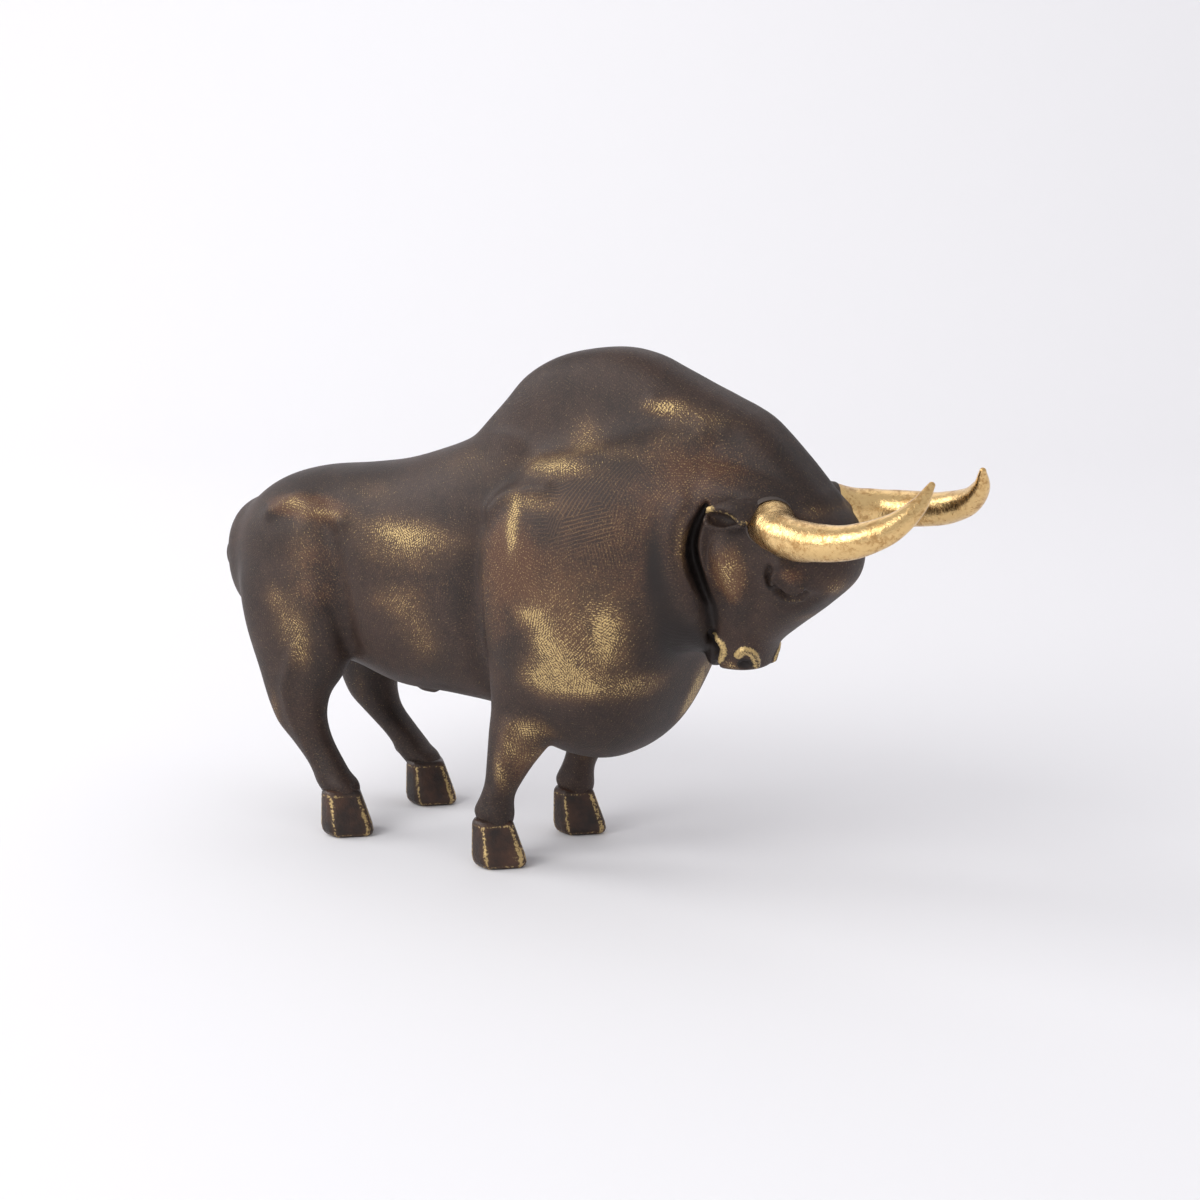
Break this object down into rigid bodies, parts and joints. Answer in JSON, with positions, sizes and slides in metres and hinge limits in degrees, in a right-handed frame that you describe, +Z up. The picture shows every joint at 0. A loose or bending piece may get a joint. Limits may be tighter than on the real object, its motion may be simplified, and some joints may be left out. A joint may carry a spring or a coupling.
{
  "type": "bull sculpture",
  "caption": "Standing bull figure with a high humped back, lowered head and forward-sweeping gilded horns, in rubbed bronze patina.",
  "frame": {"origin": "on the floor, under the middle of the bounding box", "axes": "+X the way the bull faces, +Y its left side, +Z up"},
  "size_m": [0.4018, 0.102, 0.2361],
  "materials": {
    "bronze_patina": "cast resin painted as dark brown bronze, rubbed with gold on the high places",
    "right_horn_gold_leaf": "gold leaf over a cast core, slightly rough and worn",
    "left_horn_gold_leaf": "gold leaf over a cast core, slightly rough and worn"
  },
  "bodies": {
    "root": {"body": "bronze_patina", "right_horn": "right_horn_gold_leaf", "left_horn": "left_horn_gold_leaf"}
  },
  "joints": []
}
